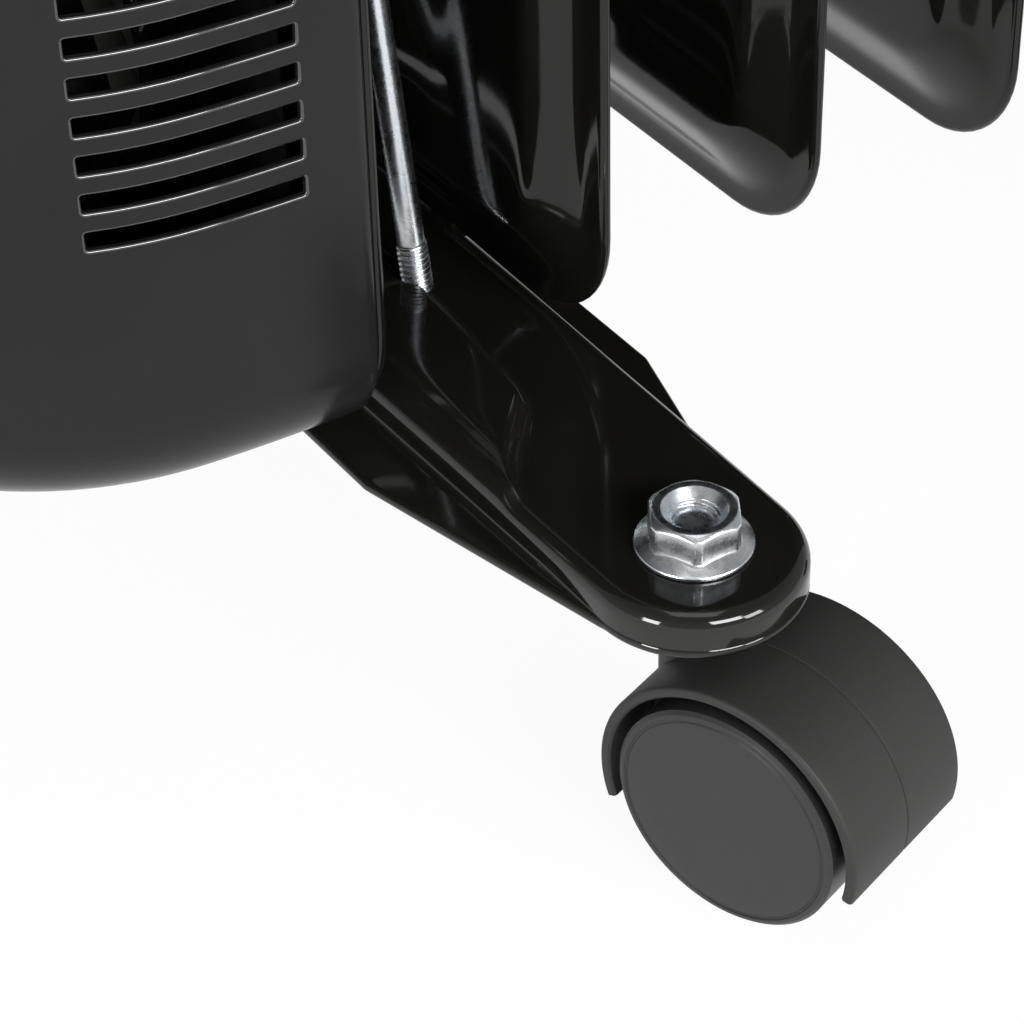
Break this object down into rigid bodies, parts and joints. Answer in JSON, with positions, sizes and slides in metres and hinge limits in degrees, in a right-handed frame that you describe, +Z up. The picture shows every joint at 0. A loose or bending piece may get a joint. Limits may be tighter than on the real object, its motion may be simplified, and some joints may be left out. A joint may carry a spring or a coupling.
{
  "type": "oil-filled radiator",
  "caption": "Oil-filled column radiator: pressed steel sections joined by headers, louvred control housing with knobs and handle, on U-bolted feet with twin-wheel casters.",
  "frame": {"origin": "on the floor, under the middle of the bounding box", "axes": "+Z up, +X to the right seen from the controls, controls facing -Y"},
  "size_m": [0.3162, 0.3706, 0.6698],
  "materials": {
    "black_enamel": "gloss",
    "housing_enamel": "gloss",
    "zinc_plated_steel": "bright zinc plate",
    "galvanised_sheet": "satin",
    "sheathed_tube": "dull",
    "brass_terminals": "satin",
    "seal_rubber": "matte",
    "panel_gloss": "gloss",
    "black_satin_plastic": "satin",
    "switch_plastic": "satin",
    "terminal_plastic": "satin",
    "lens_red": "gloss",
    "lamp_glass": "clear",
    "hood_plastic": "fine grain",
    "wheel_plastic": "satin"
  },
  "bodies": {
    "radiator": {"section_1": "black_enamel", "section_2": "black_enamel", "section_3": "black_enamel", "section_4": "black_enamel", "section_5": "black_enamel", "section_6": "black_enamel", "section_7": "black_enamel", "header_closing_discs": "black_enamel", "front_foot": "black_enamel", "rear_foot": "black_enamel", "control_box_shell": "housing_enamel", "oil_filler_plug": "zinc_plated_steel", "heating_element": "sheathed_tube", "element_flange": "zinc_plated_steel", "element_gasket": "seal_rubber", "element_terminals": "brass_terminals", "shell_screws": "zinc_plated_steel", "heat_shield": "galvanised_sheet", "shield_studs": "zinc_plated_steel", "control_panel": "panel_gloss", "cord_gland": "black_satin_plastic", "cord_gland_nut": "black_satin_plastic", "carry_handle": "black_satin_plastic", "tip_switch_pin": "zinc_plated_steel", "handle_screws": "zinc_plated_steel", "thermostat_body": "switch_plastic", "selector_switch": "switch_plastic", "tip_switch_housing": "switch_plastic", "thermal_cutout": "switch_plastic", "terminal_block": "terminal_plastic", "pilot_lens": "lens_red", "pilot_lamp": "lamp_glass", "front_u_bolt": "zinc_plated_steel", "rear_u_bolt": "zinc_plated_steel", "u_bolt_wing_nuts": "zinc_plated_steel", "u_bolt_washers": "zinc_plated_steel", "caster_stems": "zinc_plated_steel", "caster_nuts": "zinc_plated_steel"},
    "thermostat": {"thermostat_knob": "black_satin_plastic", "thermostat_shaft": "zinc_plated_steel"},
    "selector": {"selector_knob": "black_satin_plastic", "selector_shaft": "zinc_plated_steel"},
    "tip_pendulum": {"tip_switch_pendulum": "galvanised_sheet"},
    "front_right_caster": {"front_right_hood": "hood_plastic", "front_right_axle": "zinc_plated_steel"},
    "front_right_fore_wheel_body": {"front_right_fore_wheel": "wheel_plastic"},
    "front_right_aft_wheel_body": {"front_right_aft_wheel": "wheel_plastic"},
    "front_left_caster": {"front_left_hood": "hood_plastic", "front_left_axle": "zinc_plated_steel"},
    "front_left_fore_wheel_body": {"front_left_fore_wheel": "wheel_plastic"},
    "front_left_aft_wheel_body": {"front_left_aft_wheel": "wheel_plastic"},
    "rear_right_caster": {"rear_right_hood": "hood_plastic", "rear_right_axle": "zinc_plated_steel"},
    "rear_right_fore_wheel_body": {"rear_right_fore_wheel": "wheel_plastic"},
    "rear_right_aft_wheel_body": {"rear_right_aft_wheel": "wheel_plastic"},
    "rear_left_caster": {"rear_left_hood": "hood_plastic", "rear_left_axle": "zinc_plated_steel"},
    "rear_left_fore_wheel_body": {"rear_left_fore_wheel": "wheel_plastic"},
    "rear_left_aft_wheel_body": {"rear_left_aft_wheel": "wheel_plastic"}
  },
  "joints": [
    {"name": "thermostat_turn", "type": "hinge", "parent": "radiator", "child": "thermostat", "pos_m": [0, -0.16851, 0.412], "axis": [0, 1, 0], "range_deg": [0, 270]},
    {"name": "selector_turn", "type": "hinge", "parent": "radiator", "child": "selector", "pos_m": [0, -0.16851, 0.474], "axis": [0, 1, 0], "range_deg": [0, 135]},
    {"name": "tip_pendulum_swing", "type": "hinge", "parent": "radiator", "child": "tip_pendulum", "pos_m": [-0.03, -0.11069, 0.297], "axis": [0, 1, 0], "range_deg": [-25, 25]},
    {"name": "front_right_caster_swivel", "type": "hinge", "parent": "radiator", "child": "front_right_caster", "pos_m": [0.11505, -0.06419, 0.05285], "axis": [0, 0, 1], "continuous": true},
    {"name": "front_right_fore_wheel_spin", "type": "hinge", "parent": "front_right_caster", "child": "front_right_fore_wheel_body", "pos_m": [0.13417, -0.06899, 0.02], "axis": [0.3044, -0.9526, 0], "continuous": true},
    {"name": "front_right_aft_wheel_spin", "type": "hinge", "parent": "front_right_caster", "child": "front_right_aft_wheel_body", "pos_m": [0.12784, -0.04918, 0.02], "axis": [0.3044, -0.9526, 0], "continuous": true},
    {"name": "front_left_caster_swivel", "type": "hinge", "parent": "radiator", "child": "front_left_caster", "pos_m": [-0.11505, -0.06419, 0.05285], "axis": [0, 0, 1], "continuous": true},
    {"name": "front_left_fore_wheel_spin", "type": "hinge", "parent": "front_left_caster", "child": "front_left_fore_wheel_body", "pos_m": [-0.13417, -0.06899, 0.02], "axis": [-0.3044, -0.9526, 0], "continuous": true},
    {"name": "front_left_aft_wheel_spin", "type": "hinge", "parent": "front_left_caster", "child": "front_left_aft_wheel_body", "pos_m": [-0.12784, -0.04918, 0.02], "axis": [-0.3044, -0.9526, 0], "continuous": true},
    {"name": "rear_right_caster_swivel", "type": "hinge", "parent": "radiator", "child": "rear_right_caster", "pos_m": [0.11505, 0.14782, 0.05285], "axis": [0, 0, 1], "continuous": true},
    {"name": "rear_right_fore_wheel_spin", "type": "hinge", "parent": "rear_right_caster", "child": "rear_right_fore_wheel_body", "pos_m": [0.13417, 0.14301, 0.02], "axis": [0.3044, -0.9526, 0], "continuous": true},
    {"name": "rear_right_aft_wheel_spin", "type": "hinge", "parent": "rear_right_caster", "child": "rear_right_aft_wheel_body", "pos_m": [0.12784, 0.16282, 0.02], "axis": [0.3044, -0.9526, 0], "continuous": true},
    {"name": "rear_left_caster_swivel", "type": "hinge", "parent": "radiator", "child": "rear_left_caster", "pos_m": [-0.11505, 0.14782, 0.05285], "axis": [0, 0, 1], "continuous": true},
    {"name": "rear_left_fore_wheel_spin", "type": "hinge", "parent": "rear_left_caster", "child": "rear_left_fore_wheel_body", "pos_m": [-0.13417, 0.14301, 0.02], "axis": [-0.3044, -0.9526, 0], "continuous": true},
    {"name": "rear_left_aft_wheel_spin", "type": "hinge", "parent": "rear_left_caster", "child": "rear_left_aft_wheel_body", "pos_m": [-0.12784, 0.16282, 0.02], "axis": [-0.3044, -0.9526, 0], "continuous": true}
  ]
}
